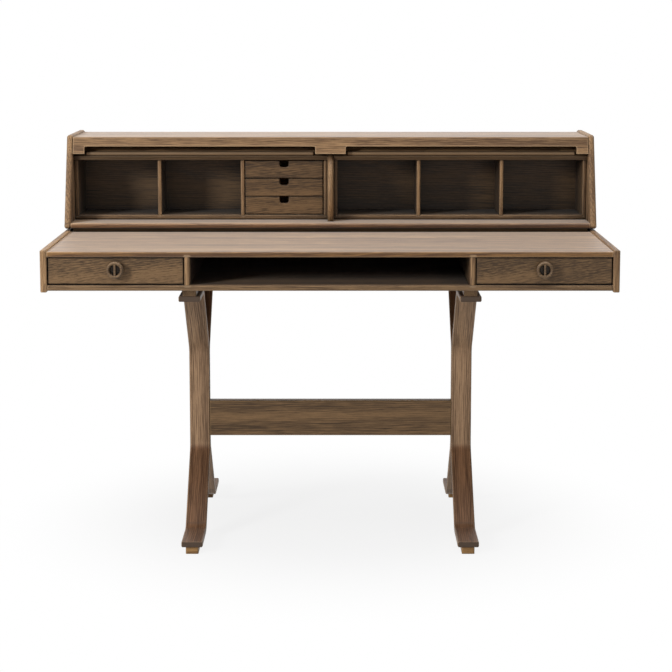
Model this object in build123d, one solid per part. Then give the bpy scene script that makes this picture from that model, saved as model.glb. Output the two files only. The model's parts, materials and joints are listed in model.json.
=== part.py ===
"""Roll top desk: a two-drawer body on bent slat legs, under a case with two tambours."""

import os
from math import asin, atan2, cos, degrees, radians, sin, sqrt, tan

from build123d import *

# Whole desk, in millimetres
desk_width = 1380.0
desk_depth = 720.0
desktop_height = 750.0
case_rise = 246.0

# Boards of the desk body
side_thickness = 16.0
board_thickness = 13.5
side_proud = 3.5
side_round = 3.2
opening_height = 67.0
board_setback = 1.5
board_nose = 3.0
rear_setback = 8.0
back_thickness = 10.0
shelf_half_width = 333.5
divider_setback = 3.0
divider_nose = 5.0
divider_housing = 4.0

# Tongues and housings
tongue_length = 5.0
tongue_shoulder = 3.0
tongue_stop = 16.0
joint_gap = 0.1

# Bent slat legs and their stretcher
leg_width = 52.0
leg_thickness = 13.0
leg_spread = 338.0
leg_inset = 32.0
leg_rear_inset = 56.0
foot_pad_height = 18.0
foot_pad_width = 31.0
foot_pad_length = 90.0
top_block_width = 33.0
block_setback = 4.0
flange_length = 132.0
bend_height = 201.0
flange_bend = 28.0
upright_bend = 34.0
leg_bevel = 2.0
stretcher_height = 92.0
stretcher_thickness = 26.0
stretcher_middle = 274.0
stretcher_bevel = 2.0
dowel_radius = 4.0
dowel_length = 50.0
dowel_spacing = 52.0

# Large drawers
drawer_side_gap = 2.5
drawer_top_gap = 2.0
drawer_lift = 3.0
drawer_recess = 5.0
drawer_front_thickness = 14.0
drawer_front_bevel = 1.0
drawer_length = 450.0
drawer_side_height = 50.0
drawer_side_thickness = 10.0
drawer_side_inset = 1.0
drawer_bottom_thickness = 5.0
drawer_bottom_rise = 6.0
drawer_groove = 4.0
runner_width = 12.0
runner_guide_height = 12.0
slide_gap = 0.3
guide_gap = 0.5

# Round knobs
knob_radius = 20.0
knob_reach = 20.0
knob_rise = 4.0
knob_neck_radius = 12.5
knob_neck_length = 6.0
knob_rim = 3.2
knob_recess_radius = 12.8
knob_recess_taper = 1.6
knob_recess_depth = 11.5
knob_rib_width = 6.0
knob_rib_drop = 1.0
knob_bevel = 2.4
knob_screw_bite = 6.0

# Screws and bolts
screw_radius = 2.0
screw_head_radius = 4.0
screw_head_height = 2.6
screw_cover = 4.0
bolt_radius = 4.0
bolt_head_radius = 7.5
bolt_head_height = 5.3
bolt_bite = 8.5
bore_gap = 0.2
cut_beyond = 1.0

# Upper case
case_lift = 8.0
case_depth_share = 1.285
case_lean = 0.3445
case_bevel = 3.5
case_corner = 7.0
case_top_drop = 5.0
plinth_height = 9.0
plinth_setback = 7.0
plinth_width = 14.0
sill_setback = 1.0
sill_nose = 6.0
case_back_thickness = 6.0
case_back_groove = 4.0
fascia_thickness = 14.0
fascia_setback = 0.8
fascia_drop = 43.0
fascia_round = 2.0
notch_height = 19.0
notch_inner = 40.0
notch_end = 30.5
notch_round = 4.0
mullion_thickness = 15.4
mullion_bevel = 4.5
mullion_housing = 3.0

# Tambours
tambour_share = 0.68
tambour_top_gap = 2.0
tambour_travel_angle = 74.5
track_gap = 0.4
track_wall = 6.5
track_depth = 5.0
track_end_gap = 0.8
track_overrun_angle = 1.2
slat_count = 17
slat_pitch_angle = 5.75
slat_gap = 0.6
slat_thickness = 6.6
slat_bevel = 1.4
slat_joint_angle = 0.25
canvas_thickness = 0.85
canvas_glue = 0.15
canvas_end = 6.0
rail_proud = 2.0
rail_sweep_angle = 9.0
rail_end_gap = 1.0
landing_gap = 0.5
bead_radius = 4.8
bead_proud = 5.5
bead_lift = 0.9
bead_bevel = 2.0
bead_inner_gap = 4.5
bead_outer_gap = 2.5

# Pigeonholes and small drawers
unit_end_gap = 0.65
hole_board = 9.5
hole_count = 3
hole_floor_board = 13.0
hole_share = 0.705
hole_top_board = 4.0
hole_depth_share = 1.036
hole_back = 6.0
hole_clear = 1.0
hole_dado = 2.5
hole_bevel = 1.2
floor_shadow = 3.0
small_drawer_count = 3
small_gap = 2.0
small_side_gap = 2.5
small_recess = 1.0
small_front_thickness = 10.0
small_side_thickness = 8.0
small_side_inset = 1.0
small_side_height = 40.0
small_bottom = 3.0
small_length = 132.0
small_runner_height = 5.0
small_runner_bite = 3.2
small_runner_length = 104.0
small_runner_rise = 17.0
small_runner_start = 4.0
finger_width = 24.0
finger_depth = 17.0
finger_round = 7.0
small_front_bevel = 0.7

# Heights and depths that follow from the sizes above
knob_beyond_front = knob_reach - drawer_recess
front_y = (knob_beyond_front - desk_depth) / 2
half_width = desk_width / 2
case_height = desktop_height + case_rise
inner_half = half_width - side_thickness
body_depth = (board_setback, desk_depth - board_setback)
desktop_z = (desktop_height - board_thickness, desktop_height)
opening_z = (desktop_z[0] - opening_height, desktop_z[0])
desk_bottom_z = (opening_z[0] - board_thickness, opening_z[0])
side_z = (desk_bottom_z[0] - side_proud, desktop_height + side_proud)
desk_back_depth = (desk_depth - rear_setback - back_thickness, desk_depth - rear_setback)
divider_x = (shelf_half_width, shelf_half_width + board_thickness)
divider_z = (opening_z[0] - divider_housing, opening_z[1] + divider_housing)
divider_depth = (divider_setback, desk_back_depth[0] - joint_gap)
leg_z = (foot_pad_height, desk_bottom_z[0] - foot_pad_height)
leg_depth = desk_depth - leg_inset - leg_rear_inset
leg_middle = leg_inset + leg_depth / 2
drawer_x = (divider_x[1] + drawer_side_gap, inner_half - drawer_side_gap)
drawer_z = (opening_z[0] + drawer_lift, opening_z[1] - drawer_top_gap)
drawer_middle = (drawer_x[0] + drawer_x[1]) / 2
drawer_front_depth = (drawer_recess, drawer_recess + drawer_front_thickness)
knob_z = (drawer_z[0] + drawer_z[1]) / 2 + knob_rise
runner_z = (opening_z[0], drawer_z[0] - slide_gap)
case_top_z = (case_height - case_top_drop - board_thickness, case_height - case_top_drop)
sill_z = (desktop_height + plinth_height, desktop_height + plinth_height + board_thickness)
case_foot = desktop_height + case_lift
case_front_foot = desk_depth - case_depth_share * case_rise
lean_angle = atan2(case_lean, 1.0)
case_back_depth = (desk_depth - rear_setback, desk_depth - rear_setback + case_back_thickness)
plinth_rear = desk_back_depth[0] - plinth_setback
fascia_z = (case_top_z[1] - fascia_drop, case_top_z[1])
fascia_run = fascia_thickness / cos(lean_angle)
notch_outer = inner_half - notch_end

# The tambour turns about one level axis, and its track is an arc about that axis
bay_height = case_top_z[0] - sill_z[1]
tambour_radius = tambour_share * (bay_height - tambour_top_gap)
rail_radius = tambour_radius + rail_proud
bead_centre = tambour_radius + bead_proud
bead_inner = notch_inner + bead_inner_gap
bead_outer = notch_outer - bead_outer_gap
track_radius = (tambour_radius - slat_thickness - track_gap, tambour_radius + track_gap)
axis_z = case_top_z[0] - tambour_top_gap - tambour_radius
axis_reach = track_radius[1] + track_wall
axis_depth = case_front_foot + (
    (axis_reach + (axis_z - case_foot) * sin(lean_angle)) / cos(lean_angle)
)
slat_back = tambour_radius - slat_thickness
slat_width = 2 * slat_back * sin(radians(slat_pitch_angle / 2)) - slat_gap
canvas_radius = (slat_back - canvas_glue - canvas_thickness, slat_back - canvas_glue)
landing_z = sill_z[1] + landing_gap
shut_low = -degrees(asin((axis_z - landing_z) / rail_radius))
shut_rail_top = shut_low + rail_sweep_angle
track_low = -degrees(asin((axis_z - sill_z[1]) / track_radius[0])) - track_overrun_angle
track_high = shut_rail_top + tambour_travel_angle + slat_count * slat_pitch_angle + track_overrun_angle
bead_shut = -degrees(asin((axis_z - sill_z[1] - bead_lift - bead_radius) / bead_centre))
bay_x = (mullion_thickness / 2, inner_half)

# The pigeonhole units stand inside the arc of the rolled-up tambour
hole_floor = sill_z[1] + hole_floor_board
hole_height = hole_share * bay_height
hole_top = hole_floor + hole_height
unit_top = hole_top + hole_top_board
unit_reach = canvas_radius[0] - hole_clear
hole_front = axis_depth - sqrt(unit_reach**2 - (unit_top - axis_z) ** 2)
hole_rear = hole_front + hole_depth_share * tambour_radius
unit_x = bay_x[0] + unit_end_gap
unit_width = bay_x[1] - unit_end_gap - unit_x
hole_width = (unit_width - (hole_count + 1) * hole_board) / hole_count
small_height = (hole_height - (small_drawer_count + 1) * small_gap) / small_drawer_count
small_x = (unit_x + hole_board, unit_x + hole_board + hole_width)
small_middle = sum(small_x) / 2


def slab(x, depth, z, spare=0.0):
    """Block between pairs of x, depth behind the desk front and z, grown by spare all round."""
    lengths = [high - low + 2 * spare for low, high in (x, depth, z)]
    middle = (sum(x) / 2, front_y + sum(depth) / 2, sum(z) / 2)
    return Pos(*middle) * Box(*lengths)


def handed(x, hand):
    """Pair of x values on the right for hand 1, mirrored to the left for hand -1."""
    return tuple(sorted((hand * x[0], hand * x[1])))


def front_edges(solid):
    """Level edges along the front of a board."""
    return solid.edges().filter_by(Axis.X).group_by(Axis.Y)[0]


def front_uprights(solid):
    """Upright edges along the front of a board."""
    return solid.edges().filter_by(Axis.Z).group_by(Axis.Y)[0]


def case_line(z):
    """Depth of the slanted front of the case at height z."""
    return case_front_foot + (z - case_foot) * case_lean


def side_view(points):
    """Flat face in the plane of the desk's side, from pairs of depth and height."""
    corners = [(front_y + depth, z) for depth, z in points]
    return make_face(Plane.YZ * Polyline(*corners, close=True))


def along_x(face, x):
    """Solid from a side-view face, between a pair of x values."""
    return extrude(Pos(X=x[0]) * face, amount=x[1] - x[0], dir=(1, 0, 0))


def ring_sector(radii, angles):
    """Side-view face of a ring about the tambour axis, angles counted up from straight ahead."""
    inner, outer = radii
    low, high = (radians(angle) for angle in angles)

    def at(radius, angle):
        return (front_y + axis_depth - radius * cos(angle), axis_z + radius * sin(angle))

    middle = (low + high) / 2
    outline = [
        ThreePointArc(at(outer, low), at(outer, middle), at(outer, high)),
        Line(at(outer, high), at(inner, high)),
        ThreePointArc(at(inner, high), at(inner, middle), at(inner, low)),
        Line(at(inner, low), at(outer, low)),
    ]
    return make_face(Plane.YZ * (Curve() + outline))


def about_axis(angle):
    """Turn about the tambour axis that lifts the front by angle."""
    centre = Pos(0, front_y + axis_depth, axis_z)
    return centre * Rot(X=-angle) * centre.inverse()


def tongue(half_span, depth, z, spare=0.0):
    """Tongues on both ends of a board, or with a spare the housings for them."""
    reach = half_span + tongue_length
    thick = (z[0] + tongue_shoulder, z[1] - tongue_shoulder)
    stopped = (depth[0] + tongue_stop, depth[1] - tongue_stop)
    return slab((-reach, reach), stopped, thick, spare)


def housed_board(depth, z, nose):
    """Board between two sides with a rounded front and a tongue on each end."""
    board = slab((-inner_half + joint_gap, inner_half - joint_gap), depth, z)
    board = fillet(front_edges(board), nose)
    return board + tongue(inner_half, depth, z)


def hex_screw(length, radius, head_radius, head_height):
    """Screw along +Z with a hexagon head that stands below the origin."""
    head = extrude(RegularPolygon(head_radius, 6), amount=-head_height)
    return head + Pos(Z=length / 2) * Cylinder(radius, length)


def hutch_screw_places():
    """Points under the desk top where the case is screwed down."""
    front_rail = case_line(sill_z[0]) + plinth_setback + plinth_width / 2
    rear_rail = plinth_rear - plinth_width / 2
    return [
        (hand * drawer_middle, front_y + depth)
        for hand in (-1, 1)
        for depth in (front_rail, rear_rail)
    ]


def leg_bolt_places():
    """Points on the leg tops where bolts go up through the blocks."""
    reach = block_setback + foot_pad_length / 2
    ends = (leg_inset + reach, leg_inset + leg_depth - reach)
    return [(hand * leg_spread, front_y + depth) for hand in (-1, 1) for depth in ends]


def desk_boards():
    """Top and bottom of the body, with housings for the dividers and holes for the fixings."""
    top = housed_board(body_depth, desktop_z, board_nose)
    bottom = housed_board(body_depth, desk_bottom_z, board_nose)
    for hand in (-1, 1):
        slot = slab(handed(divider_x, hand), divider_depth, divider_z, joint_gap)
        top -= slot
        bottom -= slot
    for x, y in hutch_screw_places():
        top -= Pos(x, y, sum(desktop_z) / 2) * Cylinder(screw_radius + bore_gap, 2 * board_thickness)
    for x, y in leg_bolt_places():
        bottom -= Pos(x, y, desk_bottom_z[0]) * Cylinder(
            bolt_radius + bore_gap, 2 * (bolt_bite + bore_gap)
        )
    return top, bottom


def desk_back():
    """Back panel of the body, let into both sides."""
    reach = inner_half + tongue_length - joint_gap
    height = (opening_z[0] + joint_gap, opening_z[1] - joint_gap)
    return slab((-reach, reach), desk_back_depth, height)


def desk_side(hand):
    """Side panel of the body, with rounded long edges and housings for the boards."""
    outer = handed((inner_half, half_width), hand)
    panel = slab(outer, (0, desk_depth), side_z)
    panel = fillet(panel.edges().filter_by(Axis.X, reverse=True), side_round)
    for z in (desktop_z, desk_bottom_z):
        panel -= tongue(inner_half, body_depth, z, joint_gap)
    reach = inner_half + tongue_length
    return panel - slab((-reach, reach), desk_back_depth, opening_z, joint_gap)


def shelf_divider(hand):
    """Upright board between a drawer and the open shelf, with a rounded front."""
    board = slab(handed(divider_x, hand), divider_depth, divider_z)
    return fillet(front_uprights(board), divider_nose)


def leg_profile():
    """Side view of a front leg slat: foot flange, slope, upright, slope, top flange."""
    start = leg_inset
    upright = leg_inset + leg_depth / 2 - joint_gap / 2 - leg_thickness
    low, high = leg_z
    slope = atan2(bend_height - low - leg_thickness, upright - start - flange_length)
    flange_shift = leg_thickness * tan(slope / 2)
    upright_shift = leg_thickness * tan((radians(90) - slope) / 2)
    inner_half_path = [
        (start, low + leg_thickness),
        (start + flange_length, low + leg_thickness),
        (upright, bend_height),
    ]
    outer_half_path = [
        (start, low),
        (start + flange_length + flange_shift, low),
        (upright + leg_thickness, bend_height - upright_shift),
    ]

    def mirrored(path):
        return [(depth, low + high - z) for depth, z in reversed(path)]

    loop = inner_half_path + mirrored(inner_half_path)
    loop += mirrored(outer_half_path)[::-1] + outer_half_path[::-1]
    inner_bends = [0, flange_bend, upright_bend]
    outer_bends = [0, flange_bend + leg_thickness, upright_bend + leg_thickness]
    radii = inner_bends + inner_bends[::-1] + outer_bends + outer_bends[::-1]
    corners = [(front_y + depth, z) for depth, z in loop]
    return make_face(Plane.YZ * FilletPolyline(*corners, radius=radii, close=True))


def leg_slat(hand, rear):
    """One bent slat with bevelled edges, bored for its bolts and for the stretcher dowels."""
    x = handed((leg_spread - leg_width / 2, leg_spread + leg_width / 2), hand)
    slat = along_x(leg_profile(), x)
    long_edges = [edge for edge in slat.edges() if abs(edge.center().X - sum(x) / 2) > 1]
    slat = chamfer(long_edges, leg_bevel)
    if rear:
        slat = slat.mirror(Plane.XZ.offset(-(front_y + leg_middle)))
    for place_x, y in leg_bolt_places():
        slat -= Pos(place_x, y, leg_z[1]) * Cylinder(bolt_radius + bore_gap, 4 * leg_thickness)
    for dowel in stretcher_dowels(bore_gap):
        slat -= dowel
    return slat


def leg_blocks(z, width):
    """Four short blocks, one at each leg end, between a pair of heights."""
    reach = (block_setback, block_setback + foot_pad_length)
    front = (leg_inset + reach[0], leg_inset + reach[1])
    rear = (leg_inset + leg_depth - reach[1], leg_inset + leg_depth - reach[0])
    blocks = []
    for hand in (-1, 1):
        x = handed((leg_spread - width / 2, leg_spread + width / 2), hand)
        for depth in (front, rear):
            block = slab(x, depth, z)
            blocks.append(chamfer(block.edges().filter_by(Axis.Z), leg_bevel))
    return blocks


def leg_top_blocks():
    """Spacers between the leg tops and the body, bored for the leg bolts."""
    blocks = leg_blocks((leg_z[1], desk_bottom_z[0]), top_block_width)
    for x, y in leg_bolt_places():
        bore = Pos(x, y, leg_z[1]) * Cylinder(bolt_radius + bore_gap, 4 * foot_pad_height)
        blocks = [block - bore for block in blocks]
    return blocks


def leg_bolts():
    """Bolts from the leg tops, through the blocks, into the desk bottom."""
    head = leg_z[1] - leg_thickness - joint_gap
    length = desk_bottom_z[0] + bolt_bite - head
    bolt = hex_screw(length, bolt_radius, bolt_head_radius, bolt_head_height)
    return [Pos(x, y, head) * bolt for x, y in leg_bolt_places()]


def stretcher_dowels(spare=0.0):
    """Level dowels that pin the stretcher ends between the leg slats."""
    dowels = []
    face = leg_spread - leg_width / 2
    for hand in (-1, 1):
        for step in (-1, 1):
            z = stretcher_middle + step * dowel_spacing / 2
            pin = Rot(Y=90) * Cylinder(dowel_radius + spare, dowel_length + 2 * spare)
            dowels.append(Pos(hand * face, front_y + leg_middle, z) * pin)
    return dowels


def stretcher():
    """Rail between the leg frames, with bevelled long edges and dowel holes in its ends."""
    half = leg_spread - leg_width / 2 - joint_gap
    depth = (leg_middle - stretcher_thickness / 2, leg_middle + stretcher_thickness / 2)
    z = (stretcher_middle - stretcher_height / 2, stretcher_middle + stretcher_height / 2)
    rail = slab((-half, half), depth, z)
    rail = chamfer(rail.edges().filter_by(Axis.X), stretcher_bevel)
    for dowel in stretcher_dowels(bore_gap):
        rail -= dowel
    return rail


def drawer_runners():
    """L-shaped strips that carry and guide the large drawers."""
    depth = (drawer_front_depth[1] + runner_width, desk_back_depth[0] - runner_width)
    guide_top = runner_z[0] + runner_guide_height
    strips = []
    for hand in (-1, 1):
        for wall, inward in ((divider_x[1], 1), (inner_half, -1)):
            fence = wall + inward * (drawer_side_gap + drawer_side_inset - guide_gap)
            floor = wall + inward * runner_width
            strip = slab(handed((wall, floor), hand), depth, runner_z)
            strip += slab(handed((wall, fence), hand), depth, (runner_z[0], guide_top))
            strips.append(strip)
    return strips


def drawer_front(hand):
    """Front of a large drawer, bored for the knob screw and grooved for the bottom."""
    front = slab(handed(drawer_x, hand), drawer_front_depth, drawer_z)
    front = chamfer(front.faces().sort_by(Axis.Y)[0].edges(), drawer_front_bevel)
    hole = Rot(X=90) * Cylinder(screw_radius + bore_gap, 4 * drawer_front_thickness)
    front -= Pos(hand * drawer_middle, front_y, knob_z) * hole
    return front - drawer_bottom(hand, joint_gap)


def drawer_bottom(hand, spare=0.0):
    """Bottom panel of a large drawer, let into the front, sides and back."""
    inset = drawer_side_inset + drawer_side_thickness - drawer_groove
    x = handed((drawer_x[0] + inset, drawer_x[1] - inset), hand)
    rear = drawer_length - drawer_side_thickness + drawer_groove
    depth = (drawer_front_depth[1] - drawer_groove, rear)
    z = drawer_z[0] + drawer_bottom_rise
    return slab(x, depth, (z, z + drawer_bottom_thickness), spare)


def drawer_box(hand):
    """Two sides and the back of a large drawer."""
    low, high = drawer_x[0] + drawer_side_inset, drawer_x[1] - drawer_side_inset
    z = (drawer_z[0], drawer_z[0] + drawer_side_height)
    depth = (drawer_front_depth[1] + joint_gap, drawer_length)
    between = (low + drawer_side_thickness + joint_gap, high - drawer_side_thickness - joint_gap)
    boards = [
        slab(handed((low, low + drawer_side_thickness), hand), depth, z),
        slab(handed((high - drawer_side_thickness, high), hand), depth, z),
        slab(handed(between, hand), (drawer_length - drawer_side_thickness, drawer_length), z),
    ]
    return [board - drawer_bottom(hand, joint_gap) for board in boards]


def knob(hand):
    """Turned knob with a round finger recess and an upright rib across it."""
    profile = Polyline(
        (0, 0),
        (knob_neck_radius, 0),
        (knob_neck_radius, knob_neck_length),
        (knob_radius, knob_neck_length + knob_rim),
        (knob_radius, knob_reach - knob_bevel),
        (knob_radius - knob_bevel, knob_reach),
        (knob_recess_radius + knob_bevel, knob_reach),
        (knob_recess_radius, knob_reach - knob_bevel),
        (knob_recess_radius - knob_recess_taper, knob_reach - knob_recess_depth),
        (0, knob_reach - knob_recess_depth),
        close=True,
    )
    turned = revolve(make_face(Plane.XZ * profile), Axis.Z)
    rib_top = knob_reach - knob_rib_drop
    rib_low = knob_reach - knob_recess_depth - knob_rib_drop
    rib_reach = knob_recess_radius + knob_bevel
    rib = Pos(0, 0, (rib_low + rib_top) / 2) * Box(knob_rib_width, 2 * rib_reach, rib_top - rib_low)
    rib = fillet(rib.edges().filter_by(Axis.Y).group_by(Axis.Z)[-1], knob_rib_width / 2 - joint_gap)
    turned += rib & Cylinder(rib_reach, 4 * knob_reach)
    turned -= Cylinder(screw_radius + bore_gap, 2 * (knob_screw_bite + bore_gap))
    place = Pos(hand * drawer_middle, front_y + drawer_recess, knob_z)
    return place * Rot(X=90) * turned


def knob_screw(hand):
    """Screw from inside the drawer into the knob."""
    length = drawer_front_thickness + knob_screw_bite
    screw = hex_screw(length, screw_radius, screw_head_radius, screw_head_height)
    inside = front_y + drawer_front_depth[1] + joint_gap
    return Pos(hand * drawer_middle, inside, knob_z) * Rot(X=90) * screw


def case_side(hand):
    """Slanted side of the case with the tambour track and housings cut in its inner face."""
    outline = side_view(
        [
            (case_line(case_foot), case_foot),
            (case_line(case_height), case_height),
            (desk_depth, case_height),
            (desk_depth, case_foot),
        ]
    )
    outline = fillet(outline.vertices(), case_corner)
    panel = along_x(outline, handed((inner_half, half_width), hand))
    rim = [edge for edge in panel.edges() if abs(edge.length - side_thickness) > 0.01]
    panel = chamfer(rim, case_bevel)
    track = ring_sector(track_radius, (track_low, track_high))
    panel -= along_x(track, handed((inner_half - cut_beyond, inner_half + track_depth), hand))
    panel -= tongue(inner_half, top_depth(), case_top_z, joint_gap)
    panel -= tongue(inner_half, sill_depth(), sill_z, joint_gap)
    return panel - case_back(joint_gap)


def top_depth():
    """Depths of the case top, from the back of the fascia to the case back."""
    front = case_line(case_top_z[1]) + fascia_setback + fascia_run + joint_gap
    return (front, case_back_depth[0] - joint_gap)


def sill_depth():
    """Depths of the sill board, from its rounded nose to the case back."""
    return (case_line(sill_z[1]) + sill_setback, case_back_depth[0] - joint_gap)


def case_back(spare=0.0):
    """Thin back panel of the case, let into both sides."""
    reach = inner_half + case_back_groove - joint_gap
    z = (sill_z[0], case_top_z[1] - board_thickness / 2)
    return slab((-reach, reach), case_back_depth, z, spare)


def case_top():
    """Top of the case, housed in the sides and slotted for the mullion."""
    depth = top_depth()
    board = slab((-inner_half + joint_gap, inner_half - joint_gap), depth, case_top_z)
    board += tongue(inner_half, depth, case_top_z)
    return board - mullion(joint_gap)


def sill():
    """Bottom board of the case with a rounded nose, slotted for the mullion."""
    board = housed_board(sill_depth(), sill_z, sill_nose)
    for x, y in hutch_screw_places():
        deep = board_thickness - screw_cover + bore_gap
        board -= Pos(x, y, sill_z[0]) * Cylinder(screw_radius + bore_gap, 2 * deep)
    return board - mullion(joint_gap)


def fascia():
    """Slanted front strip under the top, with a wide finger notch over each tambour."""
    low, high = fascia_z
    front = [(case_line(z) + fascia_setback, z) for z in (low, high)]
    rear = [(depth + fascia_run, z) for depth, z in reversed(front)]
    strip = along_x(side_view(front + rear), (-inner_half + joint_gap, inner_half - joint_gap))
    for hand in (-1, 1):
        x = handed((notch_inner, notch_outer), hand)
        cutter = slab(x, (case_front_foot, desk_depth), (low - notch_height, low + notch_height))
        cutter = fillet(cutter.edges().filter_by(Axis.Y).group_by(Axis.Z)[-1], notch_round)
        strip -= cutter
    level = strip.edges().filter_by(Axis.X).group_by(Axis.Z)[-1]
    return fillet(level.group_by(Axis.Y)[0], fascia_round)


def mullion(spare=0.0):
    """Partition between the two bays; its front follows the arc of the track."""
    low, high = sill_z[1] - mullion_housing, case_top_z[0] + mullion_housing
    nose = axis_reach
    rear = case_back_depth[0] - joint_gap
    low_angle = asin((low - axis_z) / nose)
    step_angle = asin((fascia_z[0] - axis_z) / nose)
    middle_angle = (low_angle + step_angle) / 2

    def at(angle):
        return (front_y + axis_depth - nose * cos(angle), axis_z + nose * sin(angle))

    def behind_fascia(z):
        return front_y + case_line(z) + fascia_setback + fascia_run + joint_gap

    outline = [
        ThreePointArc(at(low_angle), at(middle_angle), at(step_angle)),
        Polyline(
            at(step_angle),
            (behind_fascia(fascia_z[0]), fascia_z[0]),
            (behind_fascia(high), high),
            (front_y + rear, high),
            (front_y + rear, low),
            at(low_angle),
        ),
    ]
    half = mullion_thickness / 2
    board = along_x(make_face(Plane.YZ * (Curve() + outline)), (-half - spare, half + spare))
    if spare:
        return board
    curved = [edge for edge in board.edges().filter_by(GeomType.CIRCLE) if edge.length > nose / 2]
    board = chamfer(curved, mullion_bevel)
    track = ring_sector(track_radius, (track_low, track_high))
    for hand in (-1, 1):
        board -= along_x(track, handed((half - track_depth, half + cut_beyond), hand))
    return board


def plinth():
    """Strips that lift the case off the desk top: front, rear and two ends."""
    z = (desktop_z[1], sill_z[0])
    front = case_line(sill_z[0]) + plinth_setback
    reach = inner_half - plinth_setback
    strips = [
        slab((-reach, reach), (front, front + plinth_width), z),
        slab((-reach, reach), (plinth_rear - plinth_width, plinth_rear), z),
    ]
    for x, y in hutch_screw_places():
        bore = Pos(x, y, z[0]) * Cylinder(screw_radius + bore_gap, 4 * plinth_height)
        strips = [strip - bore for strip in strips]
    between = (front + plinth_width + joint_gap, plinth_rear - plinth_width - joint_gap)
    for hand in (-1, 1):
        strips.append(slab(handed((reach - plinth_width, reach), hand), between, z))
    return strips


def hutch_screws():
    """Screws from under the desk top, through the plinth, into the sill board."""
    head = desktop_z[0] - joint_gap
    length = sill_z[1] - screw_cover - head
    screw = hex_screw(length, screw_radius, screw_head_radius, screw_head_height)
    return [Pos(x, y, head) * screw for x, y in hutch_screw_places()]


def unit_span(hand):
    """Outer x of one pigeonhole unit."""
    return handed((unit_x, unit_x + unit_width), hand)


def unit_uprights(hand, spare=0.0):
    """Upright boards of one pigeonhole unit, let a little into its floor and top."""
    z = (hole_floor - hole_dado, hole_top + hole_top_board / 2)
    boards = []
    for index in range(hole_count + 1):
        low = unit_x + index * (hole_width + hole_board)
        board = slab(handed((low, low + hole_board), hand), (hole_front, hole_rear), z, spare)
        if not spare:
            board = chamfer(front_uprights(board), hole_bevel)
        boards.append(board)
    return boards


def unit_floor(hand):
    """Floor of a pigeonhole unit with a shadow line along its lower front edge."""
    z = (sill_z[1], hole_floor)
    board = slab(unit_span(hand), (hole_front, hole_rear), z)
    shadow = (hole_front - cut_beyond, hole_front + floor_shadow)
    board -= slab(unit_span(hand), shadow, (z[0] - cut_beyond, z[0] + floor_shadow))
    for upright in unit_uprights(hand, joint_gap):
        board -= upright
    return board


def unit_top_board(hand):
    """Thin board between a pigeonhole unit and the rolled-up tambour."""
    board = slab(unit_span(hand), (hole_front, hole_rear), (hole_top, unit_top))
    for upright in unit_uprights(hand, joint_gap):
        board -= upright
    return board


def unit_back(hand):
    """Back board of a pigeonhole unit."""
    depth = (hole_rear + joint_gap, hole_rear + hole_back)
    return slab(unit_span(hand), depth, (sill_z[1], unit_top))


def small_bottom_z(index):
    """Height of the lower edge of a small drawer, counted from the bottom."""
    return hole_floor + small_gap + index * (small_height + small_gap)


def small_runners():
    """Strips on the uprights that carry the small drawers in grooves in their sides."""
    start = hole_front + small_recess + small_front_thickness + small_runner_start
    depth = (start, start + small_runner_length)
    bite = small_side_gap + small_side_inset + small_runner_bite
    strips = []
    for index in range(small_drawer_count):
        low = small_bottom_z(index) + small_runner_rise
        z = (low, low + small_runner_height)
        strips.append(slab(handed((small_x[0], small_x[0] + bite), -1), depth, z))
        strips.append(slab(handed((small_x[1] - bite, small_x[1]), -1), depth, z))
    return strips


def small_drawer(index):
    """Front and tray boards of one small drawer."""
    low = small_bottom_z(index)
    x = (small_x[0] + small_side_gap, small_x[1] - small_side_gap)
    depth = (hole_front + small_recess, hole_front + small_recess + small_front_thickness)
    front = slab(handed(x, -1), depth, (low, low + small_height))
    top = low + small_height
    notch = slab(
        (-small_middle - finger_width / 2, -small_middle + finger_width / 2),
        (depth[0] - cut_beyond, depth[1] + cut_beyond),
        (top - finger_depth, top + finger_depth),
    )
    notch = fillet(notch.edges().filter_by(Axis.Y).group_by(Axis.Z)[0], finger_round)
    front -= notch
    face = front.faces().sort_by(Axis.Y)[0]
    front = chamfer(face.edges(), small_front_bevel)
    wall = small_side_thickness
    sides = (x[0] + small_side_inset, x[1] - small_side_inset)
    z = (low + small_gap, low + small_gap + small_side_height)
    length = (depth[1] + joint_gap, hole_front + small_length)
    inner = (sides[0] + wall + joint_gap, sides[1] - wall - joint_gap)
    groove_low = low + small_runner_rise - slide_gap
    groove_z = (groove_low, groove_low + small_runner_height + 2 * slide_gap)
    groove_x = (sides[0] + small_runner_bite + slide_gap, sides[1] - small_runner_bite - slide_gap)
    groove_depth = (length[0] - cut_beyond, length[1] + cut_beyond)
    left = slab(handed((sides[0], sides[0] + wall), -1), length, z)
    left -= slab(handed((sides[0] - cut_beyond, groove_x[0]), -1), groove_depth, groove_z)
    right = slab(handed((sides[1] - wall, sides[1]), -1), length, z)
    right -= slab(handed((groove_x[1], sides[1] + cut_beyond), -1), groove_depth, groove_z)
    rear_depth = (length[1] - wall, length[1])
    bottom_z = (z[0], z[0] + small_bottom)
    rear = slab(handed(inner, -1), rear_depth, (bottom_z[1] + joint_gap, z[1]))
    bottom = slab(handed(inner, -1), length, bottom_z)
    return front, [left, right, rear, bottom]


def tambour_slats(hand):
    """Flat slats with bevelled front edges, side by side round the arc."""
    x = (bay_x[0] - track_depth + track_end_gap, bay_x[1] + track_depth - track_end_gap)
    bar = Pos(hand * sum(x) / 2, front_y + axis_depth - tambour_radius + slat_thickness / 2, axis_z)
    bar *= Box(x[1] - x[0], slat_thickness, slat_width)
    bar = chamfer(front_edges(bar), slat_bevel)
    first = shut_rail_top + tambour_travel_angle + slat_pitch_angle / 2
    return [about_axis(first + index * slat_pitch_angle) * bar for index in range(slat_count)]


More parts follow.
